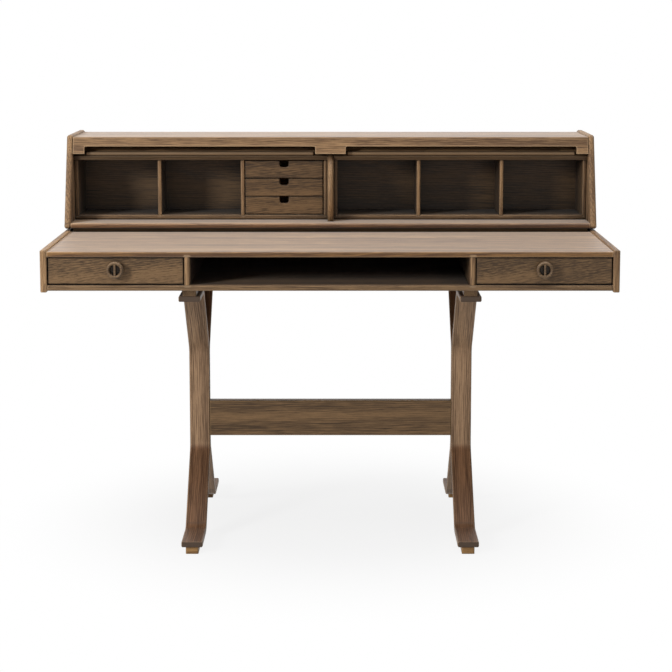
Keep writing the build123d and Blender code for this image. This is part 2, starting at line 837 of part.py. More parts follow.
def tambour_canvas(hand):
    """Canvas glued to the backs of the slats and of the lead rail."""
    low = shut_rail_top + tambour_travel_angle - rail_sweep_angle / 2
    high = shut_rail_top + tambour_travel_angle + slat_count * slat_pitch_angle - slat_joint_angle
    sheet = ring_sector(canvas_radius, (low, high))
    return along_x(sheet, handed((bay_x[0] + canvas_end, bay_x[1] - canvas_end), hand))


def tambour_rail(hand):
    """Lead rail drawn as it lands on the sill, then turned up to where it rests."""
    top = shut_rail_top - slat_joint_angle
    deep = shut_low - 2 * rail_sweep_angle
    body = ring_sector((slat_back, rail_radius), (deep, top))
    rail = along_x(body, (bay_x[0] + rail_end_gap, bay_x[1] - rail_end_gap))
    ends = (bay_x[0] - track_depth + track_end_gap, bay_x[1] + track_depth - track_end_gap)
    rail += along_x(ring_sector((slat_back, tambour_radius), (deep, top)), ends)
    angle = radians(bead_shut)
    bead = Pos(0, front_y + axis_depth - bead_centre * cos(angle), axis_z + bead_centre * sin(angle))
    bar = Cylinder(bead_radius, bead_outer - bead_inner)
    bar = chamfer(bar.edges().filter_by(GeomType.CIRCLE), bead_bevel)
    rail += Pos(X=(bead_inner + bead_outer) / 2) * bead * Rot(Y=90) * bar
    rail -= slab((0, desk_width), (0, desk_depth), (landing_z - 2 * desk_depth, landing_z))
    if hand < 0:
        rail = rail.mirror(Plane.YZ)
    return about_axis(tambour_travel_angle) * rail


def save(name, *solids):
    """Write one named piece, or a group of like pieces, to its file."""
    loose = [solid for shape in solids for solid in shape.solids()]
    export_step(loose[0] if len(loose) == 1 else Compound(loose), f"parts/{name}.step")


def main():
    """Build every piece and write it out."""
    os.makedirs("parts", exist_ok=True)
    top, bottom = desk_boards()
    save("desk_top", top)
    save("desk_bottom", bottom)
    save("desk_back", desk_back())
    save("drawer_runners", *drawer_runners())
    save("leg_top_blocks", *leg_top_blocks())
    save("foot_pads", *leg_blocks((0, leg_z[0]), foot_pad_width))
    save("leg_bolts", *leg_bolts())
    save("stretcher", stretcher())
    save("stretcher_dowels", *stretcher_dowels())
    save("hutch_top", case_top())
    save("hutch_fascia", fascia())
    save("hutch_sill", sill())
    save("hutch_back", case_back())
    save("hutch_mullion", mullion())
    save("hutch_plinth", *plinth())
    save("hutch_screws", *hutch_screws())
    save("small_drawer_runners", *small_runners())
    for index, level in enumerate(("lower", "middle", "upper")):
        front, tray = small_drawer(index)
        save(f"{level}_small_drawer_front", front)
        save(f"{level}_small_drawer_tray", *tray)
    for hand, side in ((-1, "left"), (1, "right")):
        save(f"desk_side_{side}", desk_side(hand))
        save(f"shelf_divider_{side}", shelf_divider(hand))
        save(f"leg_{side}_front", leg_slat(hand, rear=False))
        save(f"leg_{side}_rear", leg_slat(hand, rear=True))
        save(f"{side}_drawer_front", drawer_front(hand))
        save(f"{side}_drawer_box", *drawer_box(hand))
        save(f"{side}_drawer_bottom", drawer_bottom(hand))
        save(f"{side}_drawer_knob", knob(hand))
        save(f"{side}_knob_screw", knob_screw(hand))
        save(f"hutch_side_{side}", case_side(hand))
        save(f"pigeonhole_uprights_{side}", *unit_uprights(hand))
        save(f"pigeonhole_floor_{side}", unit_floor(hand))
        save(f"pigeonhole_top_{side}", unit_top_board(hand))
        save(f"pigeonhole_back_{side}", unit_back(hand))
        save(f"{side}_tambour_rail", tambour_rail(hand))
        save(f"{side}_tambour_slats", *tambour_slats(hand))
        save(f"{side}_tambour_canvas", tambour_canvas(hand))


main()
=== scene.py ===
"""Looks of the roll top desk: oiled walnut boards, canvas behind the tambours, soft studio light."""

import json
import logging
import math
from dataclasses import dataclass, replace
from enum import Enum
from typing import Any

import bmesh
import bpy
from mathutils import Euler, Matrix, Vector


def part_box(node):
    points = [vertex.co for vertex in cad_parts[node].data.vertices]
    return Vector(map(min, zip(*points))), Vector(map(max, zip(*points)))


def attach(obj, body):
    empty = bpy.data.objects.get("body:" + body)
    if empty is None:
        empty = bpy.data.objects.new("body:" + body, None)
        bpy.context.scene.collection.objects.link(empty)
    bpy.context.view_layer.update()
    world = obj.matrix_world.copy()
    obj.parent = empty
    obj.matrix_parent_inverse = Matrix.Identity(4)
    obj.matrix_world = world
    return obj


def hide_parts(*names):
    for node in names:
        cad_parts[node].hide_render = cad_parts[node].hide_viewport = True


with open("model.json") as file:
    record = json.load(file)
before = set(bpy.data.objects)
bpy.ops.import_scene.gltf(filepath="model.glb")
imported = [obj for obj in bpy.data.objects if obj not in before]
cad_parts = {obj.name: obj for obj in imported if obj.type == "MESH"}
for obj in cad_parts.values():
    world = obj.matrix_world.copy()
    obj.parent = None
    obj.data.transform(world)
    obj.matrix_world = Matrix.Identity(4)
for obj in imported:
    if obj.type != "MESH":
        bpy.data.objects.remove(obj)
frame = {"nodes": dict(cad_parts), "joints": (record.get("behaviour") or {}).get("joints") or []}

LOG = logging.getLogger("roll_top_desk")
MM = 0.001
SIDES = ("left", "right")
WHITE = (1.0, 1.0, 1.0, 1.0)

# At a scale of one, Blender's wave texture repeats this many times in a length of tau
WAVE_FACTOR = 20

# Metres between the cuts along the tree, and how far a cut lies beside and above its heart
LEAF_PITCH = 0.61
HEART_STEP = 0.028
HEART_DEPTH = 0.075
HEART_DEPTH_STEP = 0.017


def linear(colour: str, shade: float = 1.0) -> tuple[float, float, float, float]:
    """Turn an sRGB hex colour into linear values.

    Args:
        colour: Six hex digits after a hash.
        shade: Factor on the linear values, for a paler or darker leaf of the same wood; on some pieces
            it is painted shade.

    Returns:
        Red, green, blue and an alpha of one.
    """
    parts = [int(colour[i : i + 2], 16) / 255 for i in (1, 3, 5)]
    bent = [p / 12.92 if p <= 0.04045 else ((p + 0.055) / 1.055) ** 2.4 for p in parts]
    return tuple(min(1.0, p * shade) for p in bent) + (1.0,)


def add_node(
    tree: bpy.types.NodeTree,
    kind: str,
    settings: dict[Any, Any] | None = None,
    links: dict[Any, bpy.types.NodeSocket] | None = None,
) -> bpy.types.Node:
    """Add a node with its settings and its incoming links.

    Args:
        tree: The node tree that gets the node.
        kind: Blender's name for the kind of node.
        settings: Properties by name, or input values by socket name or index.
        links: Output sockets by the name or index of the input that they feed.

    Returns:
        The new node.
    """
    node = tree.nodes.new(kind)
    for key, value in (settings or {}).items():
        if isinstance(key, str) and hasattr(node, key):
            setattr(node, key, value)
        else:
            node.inputs[key].default_value = value
    for key, source in (links or {}).items():
        tree.links.new(source, node.inputs[key])
    return node


class Grain(Enum):
    """Way that the fibres of a piece run.

    A bent slat's fibres follow it round its bends. A lipped board has its fibres along y, and a
    strip on its front end whose fibres stand upright.
    """

    ALONG_X = "x"
    ALONG_Y = "y"
    ALONG_Z = "z"
    BENT = "bent"
    LIPPED = "lipped"

    def turn(self) -> Euler:
        """Turn that lays the fibres along the pattern's x axis."""
        quarter = math.pi / 2
        angles = {Grain.ALONG_X: (0, 0, 0), Grain.ALONG_Z: (0, quarter, 0)}
        return Euler(angles.get(self, (0, 0, -quarter)))

    def drawn_out(self, stretch: float) -> tuple[float, float, float]:
        """Scale that draws a pattern out along the fibres."""
        thin = 1 / stretch
        return (thin, 1.0, thin) if self is Grain.BENT else (thin, 1.0, 1.0)


@dataclass(frozen=True)
class Leaf:
    """Cut of timber for one piece: its number, fibres, box in metres, shade and slant."""

    number: int
    grain: Grain
    box: tuple[Vector, Vector]
    shade: float
    slant_deg: float

    def heart(self) -> Vector:
        """Where the tree's heart lies from the middle of the leaf, different for each leaf."""
        across = HEART_STEP * ((self.number * 5) % 7 - 3)
        below = HEART_DEPTH + HEART_DEPTH_STEP * ((self.number * 3) % 5)
        return Vector((LEAF_PITCH * self.number, across, below))

    def turn(self) -> Euler:
        """Turn that lays the fibres, with their slant, along the pattern's x axis."""
        slant = math.radians(self.slant_deg) * (1 if self.number % 2 else -1)
        return (Euler((0, slant, slant)).to_matrix() @ self.grain.turn().to_matrix()).to_euler()

    def offset(self) -> Vector:
        """Shift that brings the middle of the piece to its place beside the heart."""
        return self.heart() - self.turn().to_matrix() @ ((self.box[0] + self.box[1]) / 2)


@dataclass(frozen=True)
class Timber:
    """Timber that was planed, sanded and oiled: a satin face with long fibres, rings and open pores.

    A span gives the two values of a measure at which an effect begins and is complete.
    """

    name: str
    early: str
    late: str
    pore: str
    edge_worn_and_painted: str
    face_shade_colour: str = "#BFA79A"
    cut: str = "#4E3E31"
    end_mm: float = 24.0
    ring_mm: float = 5.0
    ring_share: float = 0.14
    streak_mm: float = 1.5
    streak_share: float = 1.0
    band_mm: float = 34.0
    band_share: float = 0.5
    tone_reach: float = 0.18
    pore_mm: float = 0.7
    pore_span: tuple[float, float] = (0.53, 0.7)
    pore_share: float = 0.45
    wander_mm: float = 70.0
    wander_reach_mm: float = 13.0
    wander_stretch: float = 5.0
    stretch: float = 55.0
    pore_stretch: float = 24.0
    edge_worn_and_painted_mm: float = 4.0
    edge_worn_and_painted_span: tuple[float, float] = (0.98, 0.5)
    recess_shade_mm: float = 14.0
    recess_shade_span: tuple[float, float] = (0.15, 0.7)
    recess_shade_least: float = 0.08
    corner_mm: float = 3.0
    bend_shade_span: tuple[float, float] = (0.15, 0.6)
    bend_shade_depth: float = 0.8
    edge_shade_span: tuple[float, float] = (0.8, 0.4)
    edge_shade_depth: float = 0.0
    lip_span: tuple[float, float] = (-0.6, -0.7)
    end_span: tuple[float, float] = (0.6, 0.9)
    smoothest: float = 0.35
    roughest: float = 0.59
    bump: float = 0.22
    bump_mm: float = 0.35
    specular: float = 0.3
    sheen: float = 0.03

    def material(self, label: str, leaf: Leaf) -> bpy.types.Material:
        """Make the wood of one piece.

        Args:
            label: Name of the piece, which ends the material's name.
            leaf: Cut that the piece gets.

        Returns:
            The material, with grain, pores, worn and painted edges, painted shade in recesses and on
            some faces, and a fine bump.
        """
        material = bpy.data.materials.new(f"{self.name}_{label}")
        material.use_nodes = True
        tree = material.node_tree
        place = add_node(tree, "ShaderNodeTexCoord").outputs["Object"]
        placed = add_node(
            tree,
            "ShaderNodeMapping",
            {"Rotation": leaf.turn(), "Location": leaf.offset()},
            {"Vector": place},
        ).outputs["Vector"]
        if leaf.grain is Grain.LIPPED:
            placed = self.lipping(tree, placed)
        slow, drawn, fine = [
            add_node(
                tree, "ShaderNodeMapping", {"Scale": leaf.grain.drawn_out(stretch)}, {"Vector": placed}
            ).outputs["Vector"]
            for stretch in (self.wander_stretch, self.stretch, self.pore_stretch)
        ]
        streaks = add_node(
            tree,
            "ShaderNodeTexNoise",
            {"Scale": 1 / (self.streak_mm * MM), "Detail": 3.0, "Roughness": 0.6},
            {"Vector": drawn},
        ).outputs["Fac"]
        # Real pores are a third of a millimetre wide; they are drawn coarser, so that they show
        pores = add_node(
            tree,
            "ShaderNodeTexNoise",
            {"Scale": 1 / (self.pore_mm * MM), "Detail": 2.0, "Roughness": 0.7},
            {"Vector": fine},
        ).outputs["Fac"]
        open_pores = add_node(
            tree,
            "ShaderNodeMapRange",
            {"From Min": self.pore_span[0], "From Max": self.pore_span[1], "To Max": self.pore_share},
            {"Value": pores},
        ).outputs["Result"]
        bands = add_node(
            tree,
            "ShaderNodeTexNoise",
            {"Scale": 1 / (self.band_mm * MM), "Detail": 1.0},
            {"Vector": drawn},
        ).outputs["Fac"]
        rings = self.rings(tree, placed, slow, leaf.grain)
        tone = self.tone(
            tree, {rings: self.ring_share, streaks: self.streak_share, bands: self.band_share}
        )
        wood = add_node(
            tree,
            "ShaderNodeMix",
            {"data_type": "RGBA", 6: linear(self.early, leaf.shade), 7: linear(self.late, leaf.shade)},
            {0: tone},
        ).outputs[2]
        wood = add_node(
            tree,
            "ShaderNodeMix",
            {"data_type": "RGBA", 7: linear(self.pore, leaf.shade)},
            {0: open_pores, 6: wood},
        ).outputs[2]
        # Painted shade by face direction: upward faces of a bent slat, and on waxed tops the faces that
        # don't look up
        if leaf.grain is Grain.BENT:
            wood = self.painted_face_shade(tree, wood, self.bend_shade_span, self.bend_shade_depth)
        if self.edge_shade_depth:
            wood = self.painted_face_shade(tree, wood, self.edge_shade_span, self.edge_shade_depth)
        wood = self.rubbed_and_painted(tree, wood, streaks, leaf.shade)
        if leaf.grain is Grain.BENT:
            wood = self.cut_ends(tree, wood, place, leaf.box)
        wood = self.painted_recess_shade(tree, wood)
        self.oiled(tree, wood, streaks, pores, open_pores)
        return material

    def rings(
        self,
        tree: bpy.types.NodeTree,
        placed: bpy.types.NodeSocket,
        slow: bpy.types.NodeSocket,
        grain: Grain,
    ) -> bpy.types.NodeSocket:
        """Draw the year rings, which wander as the tree grew.

        Args:
            tree: Node tree of the wood.
            placed: Place in the pattern.
            slow: The same place, drawn out for slow changes.
            grain: Way that the fibres run.

        Returns:
            The rings, whose lines bow and close into tall arches on a flat cut.
        """
        wander = add_node(
            tree,
            "ShaderNodeTexNoise",
            {"Scale": 1 / (self.wander_mm * MM), "Detail": 2.0},
            {"Vector": slow},
        )
        reach = self.wander_reach_mm * MM
        bowed = add_node(
            tree,
            "ShaderNodeVectorMath",
            {"operation": "MULTIPLY_ADD", 1: (0.0, reach, reach)},
            {0: wander.outputs["Color"], 2: placed},
        ).outputs["Vector"]
        return add_node(
            tree,
            "ShaderNodeTexWave",
            {
                "wave_type": "BANDS" if grain is Grain.BENT else "RINGS",
                "bands_direction": "Y",
                "rings_direction": "X",
                "wave_profile": "SAW",
                "Scale": math.tau / (WAVE_FACTOR * self.ring_mm * MM),
            },
            {"Vector": bowed},
        ).outputs["Fac"]

    def tone(
        self, tree: bpy.types.NodeTree, shares: dict[bpy.types.NodeSocket, float]
    ) -> bpy.types.NodeSocket:
        """Add the parts of the figure up to one tone.

        Args:
            tree: Node tree of the wood.
            shares: Weight of each part, whose own middle is a half.

        Returns:
            The tone, from nought for early wood to one for late wood.
        """
        total = None
        for part, weight in shares.items():
            links = {0: part}
            if total:
                links[2] = total
            total = add_node(
                tree, "ShaderNodeMath", {"operation": "MULTIPLY_ADD", 1: weight, 2: 0.0}, links
            ).outputs["Value"]
        even = sum(shares.values()) / 2
        return add_node(
            tree,
            "ShaderNodeMapRange",
            {
                "interpolation_type": "SMOOTHSTEP",
                "From Min": even - self.tone_reach,
                "From Max": even + self.tone_reach,
            },
            {"Value": total},
        ).outputs["Result"]

    def rubbed_and_painted(
        self,
        tree: bpy.types.NodeTree,
        wood: bpy.types.NodeSocket,
        streaks: bpy.types.NodeSocket,
        shade: float,
    ) -> bpy.types.NodeSocket:
        """Change the colour of the corners: partly wear where hands and cloths rub, partly a painted
        highlight, and painted shade where the corner colour is near black.

        Args:
            tree: Node tree of the wood.
            wood: Colour of the wood so far.
            streaks: Fibres, which hold the corner colour unevenly.
            shade: Factor on the corner colour.

        Returns:
            The colour, nearer to the corner colour at the corners.
        """
        # Paler corner colours are partly wear and partly a painted highlight on the noses; the
        # near-black one of the drawer fronts is painted shade
        corner = add_node(
            tree,
            "ShaderNodeAmbientOcclusion",
            {"inside": True, "only_local": True, "samples": 6, "Distance": self.edge_worn_and_painted_mm * MM},
        )
        near = add_node(
            tree,
            "ShaderNodeMapRange",
            {"From Min": self.edge_worn_and_painted_span[0], "From Max": self.edge_worn_and_painted_span[1]},
            {"Value": corner.outputs["AO"]},
        ).outputs["Result"]
        share = add_node(
            tree, "ShaderNodeMath", {"operation": "MULTIPLY"}, {0: near, 1: streaks}
        ).outputs["Value"]
        return add_node(
            tree,
            "ShaderNodeMix",
            {"data_type": "RGBA", 7: linear(self.edge_worn_and_painted, shade)},
            {0: share, 6: wood},
        ).outputs[2]

    def painted_recess_shade(self, tree: bpy.types.NodeTree, wood: bpy.types.NodeSocket) -> bpy.types.NodeSocket:
        """Darken joints, recesses and gaps between parts by how near other faces stand: painted shade.

        Args:
            tree: Node tree of the wood.
            wood: Colour of the wood so far.

        Returns:
            The colour, darker where other faces stand close.
        """
        # Ambient occlusion within the recess shade reach paints the shade that falls in recesses and
        # between parts
        occlusion = add_node(
            tree, "ShaderNodeAmbientOcclusion", {"samples": 6, "Distance": self.recess_shade_mm * MM}
        )
        unshaded = add_node(
            tree,
            "ShaderNodeMapRange",
            {
                "From Min": self.recess_shade_span[0],
                "From Max": self.recess_shade_span[1],
                "To Min": self.recess_shade_least,
            },
            {"Value": occlusion.outputs["AO"]},
        )
        return add_node(
            tree,
            "ShaderNodeMix",
            {"data_type": "RGBA", "blend_type": "MULTIPLY", 0: 1.0},
            {6: wood, 7: unshaded.outputs["Result"]},
        ).outputs[2]

    def oiled(
        self,
        tree: bpy.types.NodeTree,
        wood: bpy.types.NodeSocket,
        streaks: bpy.types.NodeSocket,
        pores: bpy.types.NodeSocket,
        open_pores: bpy.types.NodeSocket,
    ) -> None:
        """Give the shader its colour, its satin face, its fine bump and its eased corners.

        Args:
            tree: Node tree of the wood.
            wood: Colour of the wood.
            streaks: Fibres, which stand up a little.
            pores: Pattern of the pores, which turns the face matt.
            open_pores: Pores alone, which lie deeper.
        """
        shader = tree.nodes["Principled BSDF"]
        tree.links.new(wood, shader.inputs["Base Color"])
        matt = add_node(
            tree,
            "ShaderNodeMapRange",
            {"To Min": self.smoothest, "To Max": self.roughest},
            {"Value": pores},
        )
        tree.links.new(matt.outputs["Result"], shader.inputs["Roughness"])
        height = add_node(
            tree, "ShaderNodeMath", {"operation": "SUBTRACT"}, {0: streaks, 1: open_pores}
        )
        eased = add_node(tree, "ShaderNodeBevel", {"samples": 4, "Radius": self.corner_mm * MM})
        bump = add_node(
            tree,
            "ShaderNodeBump",
            {"Strength": self.bump, "Distance": self.bump_mm * MM},
            {"Height": height.outputs["Value"], "Normal": eased.outputs["Normal"]},
        )
        tree.links.new(bump.outputs["Normal"], shader.inputs["Normal"])
        shader.inputs["Specular IOR Level"].default_value = self.specular
        shader.inputs["Sheen Weight"].default_value = self.sheen

    def cut_ends(
        self,
        tree: bpy.types.NodeTree,
        wood: bpy.types.NodeSocket,
        place: bpy.types.NodeSocket,
        box: tuple[Vector, Vector],
    ) -> bpy.types.NodeSocket:
        """Darken the sawn ends of a bent slat, which stand upright at its top and its foot.

        Args:
            tree: Node tree of the slat's wood.
            wood: Colour of the wood so far.
            place: Place on the slat.
            box: Lowest and highest corner of the slat, in metres.

        Returns:
            The colour, much deeper on the ends.
        """
        height = add_node(tree, "ShaderNodeSeparateXYZ", links={"Vector": place}).outputs["Z"]
        share = None
        for end, way in ((box[0].z, 1.0), (box[1].z, -1.0)):
            near = add_node(
                tree,
                "ShaderNodeMapRange",
                {
                    "From Min": end + way * self.end_mm * MM,
                    "From Max": end + way * (self.end_mm - 1) * MM,
                },
                {"Value": height},
            ).outputs["Result"]
            links = {0: near}
            if share:
                links[1] = share
            share = add_node(
                tree, "ShaderNodeMath", {"operation": "MAXIMUM", 1: 0.0}, links
            ).outputs["Value"]
        normal = add_node(tree, "ShaderNodeNewGeometry").outputs["Normal"]
        level = add_node(tree, "ShaderNodeSeparateXYZ", links={"Vector": normal}).outputs["Y"]
        upright = add_node(
            tree, "ShaderNodeMath", {"operation": "ABSOLUTE"}, {0: level}
        ).outputs["Value"]
        upright = add_node(
            tree,
            "ShaderNodeMapRange",
            {"From Min": self.end_span[0], "From Max": self.end_span[1]},
            {"Value": upright},
        ).outputs["Result"]
        share = add_node(
            tree, "ShaderNodeMath", {"operation": "MULTIPLY"}, {0: share, 1: upright}
        ).outputs["Value"]
        return add_node(
            tree, "ShaderNodeMix", {"data_type": "RGBA", 7: linear(self.cut)}, {0: share, 6: wood}
        ).outputs[2]

    def lipping(self, tree: bpy.types.NodeTree, placed: bpy.types.NodeSocket) -> bpy.types.NodeSocket:
        """Turn the fibres upright on the strip that covers the board's front end.

        Args:
            tree: Node tree of the board's wood.
            placed: Place in the pattern, with the board's fibres along x.

        Returns:
            The place, with x and z changed over on faces that look forward.
        """
        parts = add_node(tree, "ShaderNodeSeparateXYZ", links={"Vector": placed}).outputs
        upright = add_node(
            tree, "ShaderNodeCombineXYZ", links={"X": parts["Z"], "Y": parts["Y"], "Z": parts["X"]}
        ).outputs["Vector"]
        return add_node(
            tree,
            "ShaderNodeMix",
            {"data_type": "VECTOR"},
            {0: self.facing(tree, "Y", self.lip_span), 4: placed, 5: upright},
        ).outputs[1]

    def facing(
        self, tree: bpy.types.NodeTree, axis: str, span: tuple[float, float]
    ) -> bpy.types.NodeSocket:
        """Say how far a face looks along an axis.

        Args:
            tree: Node tree that asks.
            axis: Name of the axis.
            span: Parts of the normal along the axis that give nought and one.

        Returns:
            A socket between nought and one.
        """
        normal = add_node(tree, "ShaderNodeNewGeometry").outputs["Normal"]
        along = add_node(tree, "ShaderNodeSeparateXYZ", links={"Vector": normal}).outputs[axis]
        return add_node(
            tree,
            "ShaderNodeMapRange",
            {"interpolation_type": "SMOOTHSTEP", "From Min": span[0], "From Max": span[1]},
            {"Value": along},
        ).outputs["Result"]

    def painted_face_shade(
        self,
        tree: bpy.types.NodeTree,
        wood: bpy.types.NodeSocket,
        span: tuple[float, float],
        depth: float,
    ) -> bpy.types.NodeSocket:
        """Darken faces by the way they look along z: painted shade.

        Args:
            tree: Node tree of the wood.
            wood: Colour of the wood so far.
            span: Parts of the normal along z between which the painted shade comes in.
            depth: Share of the shade colour.

        Returns:
            The colour, with painted shade on those faces.
        """
        share = add_node(
            tree,
            "ShaderNodeMath",
            {"operation": "MULTIPLY", 1: depth},
            {0: self.facing(tree, "Z", span)},
        ).outputs["Value"]
        return add_node(
            tree,
            "ShaderNodeMix",
            {"data_type": "RGBA", "blend_type": "MULTIPLY", 7: linear(self.face_shade_colour)},
            {0: share, 6: wood},
        ).outputs[2]


@dataclass(frozen=True)
class PlatedSteel:
    """Zinc-plated steel of screws and bolts: bright, faintly blue and finely mottled by the bath."""

    name: str = "zinc_plated_steel"
    bright: str = "#B9BCC0"
    dull: str = "#8E9196"
    mottle_mm: float = 1.6
    smoothest: float = 0.24
    roughest: float = 0.46

    def material(self) -> bpy.types.Material:
        """Make the steel."""
        material = bpy.data.materials.new(self.name)
        material.use_nodes = True
        tree = material.node_tree
        shader = tree.nodes["Principled BSDF"]
        coords = add_node(tree, "ShaderNodeTexCoord")
        mottle = add_node(
            tree,
            "ShaderNodeTexNoise",
            {"Scale": 1 / (self.mottle_mm * MM), "Detail": 4.0},
            {"Vector": coords.outputs["Object"]},
        ).outputs["Fac"]
        colour = add_node(
            tree,
            "ShaderNodeMix",
            {"data_type": "RGBA", 6: linear(self.bright), 7: linear(self.dull)},
            {0: mottle},
        )
        rough = add_node(
            tree,
            "ShaderNodeMapRange",
            {"To Min": self.smoothest, "To Max": self.roughest},
            {"Value": mottle},
        )
        tree.links.new(colour.outputs[2], shader.inputs["Base Color"])
        tree.links.new(rough.outputs["Result"], shader.inputs["Roughness"])
        shader.inputs["Metallic"].default_value = 1.0
        return material


@dataclass(frozen=True)
class Canvas:
    """Cotton canvas in a plain weave: matt, with warp and weft that pass over each other in turn."""

    name: str = "cotton_canvas"
    thread: str = "#8A7C66"
    gap: str = "#4C4335"
    thread_mm: float = 1.1
    unevenness: float = 0.6
    bump: float = 0.5
    bump_mm: float = 0.3
    roughness: float = 0.92

    def material(self) -> bpy.types.Material:
        """Make the cloth, from the sheet's own flat map in metres."""
        material = bpy.data.materials.new(self.name)
        material.use_nodes = True
        tree = material.node_tree
        shader = tree.nodes["Principled BSDF"]
        flat = add_node(tree, "ShaderNodeUVMap", {"uv_map": "flat"}).outputs["UV"]
        scale = math.tau / (WAVE_FACTOR * self.thread_mm * MM)
        warp, weft = [
            add_node(
                tree,
                "ShaderNodeTexWave",
                {
                    "bands_direction": way,
                    "Scale": scale,
                    "Distortion": self.unevenness,
                    "Detail Scale": 2.0,
                },
                {"Vector": flat},
            ).outputs["Fac"]
            for way in ("X", "Y")
        ]
        over = add_node(
            tree, "ShaderNodeMath", {"operation": "MULTIPLY"}, {0: warp, 1: weft}
        ).outputs["Value"]
        colour = add_node(
            tree,
            "ShaderNodeMix",
            {"data_type": "RGBA", 6: linear(self.gap), 7: linear(self.thread)},
            {0: over},
        )
        bump = add_node(
            tree,
            "ShaderNodeBump",
            {"Strength": self.bump, "Distance": self.bump_mm * MM},
            {"Height": over},
        )
        tree.links.new(colour.outputs[2], shader.inputs["Base Color"])
        tree.links.new(bump.outputs["Normal"], shader.inputs["Normal"])
        shader.inputs["Roughness"].default_value = self.roughness
        return material


WALNUT = Timber("oiled_walnut", early="#AC8860", late="#5A4029", pore="#33230F", edge_worn_and_painted="#D0AE88")
# The waxed tops paint shade on the faces that don't look up, so that their front edges read darker than
# the lit tops
WAXED_WALNUT = replace(
    WALNUT,
    name="waxed_walnut",
    early="#B28F69",
    late="#664B37",
    face_shade_colour="#D0BE9A",
    sheen=0.3,
    edge_shade_depth=1.0,
    band_mm=20.0,
    band_share=0.6,
)
# The sill's front face gets a deeper painted shade than the waxed tops
SILL_WALNUT = replace(WAXED_WALNUT, name="sill_walnut", face_shade_colour="#AD9A8A")
LEG_WALNUT = replace(WALNUT, name="leg_walnut", early="#AA8969", late="#59422E")
NOSE_WALNUT = replace(WALNUT, name="nosed_walnut", corner_mm=7.0)
# Long recess shade reaches paint deep shade inside the shelf, the case and the pigeonholes
SHELF_WALNUT = replace(NOSE_WALNUT, name="shelf_walnut", recess_shade_mm=90.0)
DIVIDER_WALNUT = replace(NOSE_WALNUT, name="divider_walnut", recess_shade_mm=250.0)
RAIL_WALNUT = replace(WALNUT, name="rail_walnut", recess_shade_mm=3.0)
# The knob's recess shade reach paints shade deep in its hollow
KNOB_WALNUT = replace(WALNUT, name="knob_walnut", recess_shade_mm=26.0, corner_mm=1.6)
DARK_WALNUT = Timber("dark_walnut", early="#866847", late="#42301D", pore="#251809", edge_worn_and_painted="#8F724C")
# The corners of the drawer fronts are painted near black: a painted shadow for the dark gaps round the
# drawers
FRONT_WALNUT = replace(DARK_WALNUT, name="front_walnut", edge_worn_and_painted="#0E0905")
# Near-black, hardly glossy walnut for the plinth strip: a painted shadow in the gap under the case
SHADOW_GAP_WALNUT = replace(DARK_WALNUT, name="shadow_gap_walnut", specular=0.05, sheen=0.0)
# Its long recess shade reach paints the pigeonhole backs dark
HOLE_WALNUT = replace(DARK_WALNUT, name="hole_walnut", recess_shade_mm=60.0)
PALE_WALNUT = Timber("pale_walnut", early="#AC8453", late="#7A5731", pore="#3E2A12", edge_worn_and_painted="#BF9A66")
BEECH = Timber(
    "sanded_beech",
    early="#CFAE84",
    late="#B58E63",
    pore="#8A6541",
    edge_worn_and_painted="#DDC19B",
    pore_mm=1.2,
    smoothest=0.51,
    roughest=0.75,
)


class Dresser:
    """Gives CAD nodes their finish and keeps count of the leaves already cut."""

    def __init__(self, nodes: dict[str, bpy.types.Object]) -> None:
        """Hold the nodes by name."""
        self.nodes = nodes
        self.leaves = 0

    def put(self, node: str, material: bpy.types.Material) -> None:
        """Give a node one material all over."""
        slots = self.nodes[node].data.materials
        slots.clear()
        slots.append(material)
        LOG.info("%s wears %s", node, material.name)

    def wood(
        self, node: str, timber: Timber, grain: Grain, shade: float = 1.0, slant_deg: float = 0.8
    ) -> bpy.types.Material:
        """Cut a new leaf of timber for a node.

        Args:
            node: Name of the CAD node.
            timber: Wood that it is made of.
            grain: Way that its fibres run.
            shade: Factor on the wood's colours.
            slant_deg: Angle by which the fibres run out of the piece.

        Returns:
            The wood that the node now wears.
        """
        self.leaves += 1
        leaf = Leaf(self.leaves, grain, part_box(node), shade, slant_deg)
        material = timber.material(node, leaf)
        self.put(node, material)
        return material


@dataclass
class DeskBody:
    """Shallow body: top, bottom, sides that stand proud, dividers and back."""

    top: str = "desk_top"
    bottom: str = "desk_bottom"
    back: str = "desk_back"
    runners: str = "drawer_runners"

    def dress(self, dresser: Dresser) -> None:
        """Give the body its walnut."""
        dresser.wood(self.top, WAXED_WALNUT, Grain.ALONG_X)
        dresser.wood(self.bottom, SHELF_WALNUT, Grain.ALONG_X, shade=0.58)
        dresser.wood(self.back, DARK_WALNUT, Grain.ALONG_X)
        dresser.wood(self.runners, BEECH, Grain.ALONG_Y)
        for side in SIDES:
            dresser.wood(f"desk_side_{side}", NOSE_WALNUT, Grain.LIPPED, shade=1.05)
            dresser.wood(f"shelf_divider_{side}", DIVIDER_WALNUT, Grain.ALONG_Z)


@dataclass
class LegFrames:
    """Two pairs of bent slats with blocks, pads, a stretcher and its dowels."""

    blocks: str = "leg_top_blocks"
    pads: str = "foot_pads"
    stretcher: str = "stretcher"
    dowels: str = "stretcher_dowels"

    def dress(self, dresser: Dresser) -> None:
        """Give the legs walnut whose fibres follow the bends."""
        for side in SIDES:
            # The rear slats get a darker copy of the leg walnut than the front ones: painted shade
            for place, shade in (("front", 1.17), ("rear", 1.0)):
                dresser.wood(f"leg_{side}_{place}", LEG_WALNUT, Grain.BENT, shade=shade)
        dresser.wood(self.blocks, WALNUT, Grain.ALONG_Y, shade=0.8)
        dresser.wood(self.pads, PALE_WALNUT, Grain.ALONG_X)
        dresser.wood(self.stretcher, DARK_WALNUT, Grain.ALONG_X)
        dresser.wood(self.dowels, BEECH, Grain.ALONG_X)


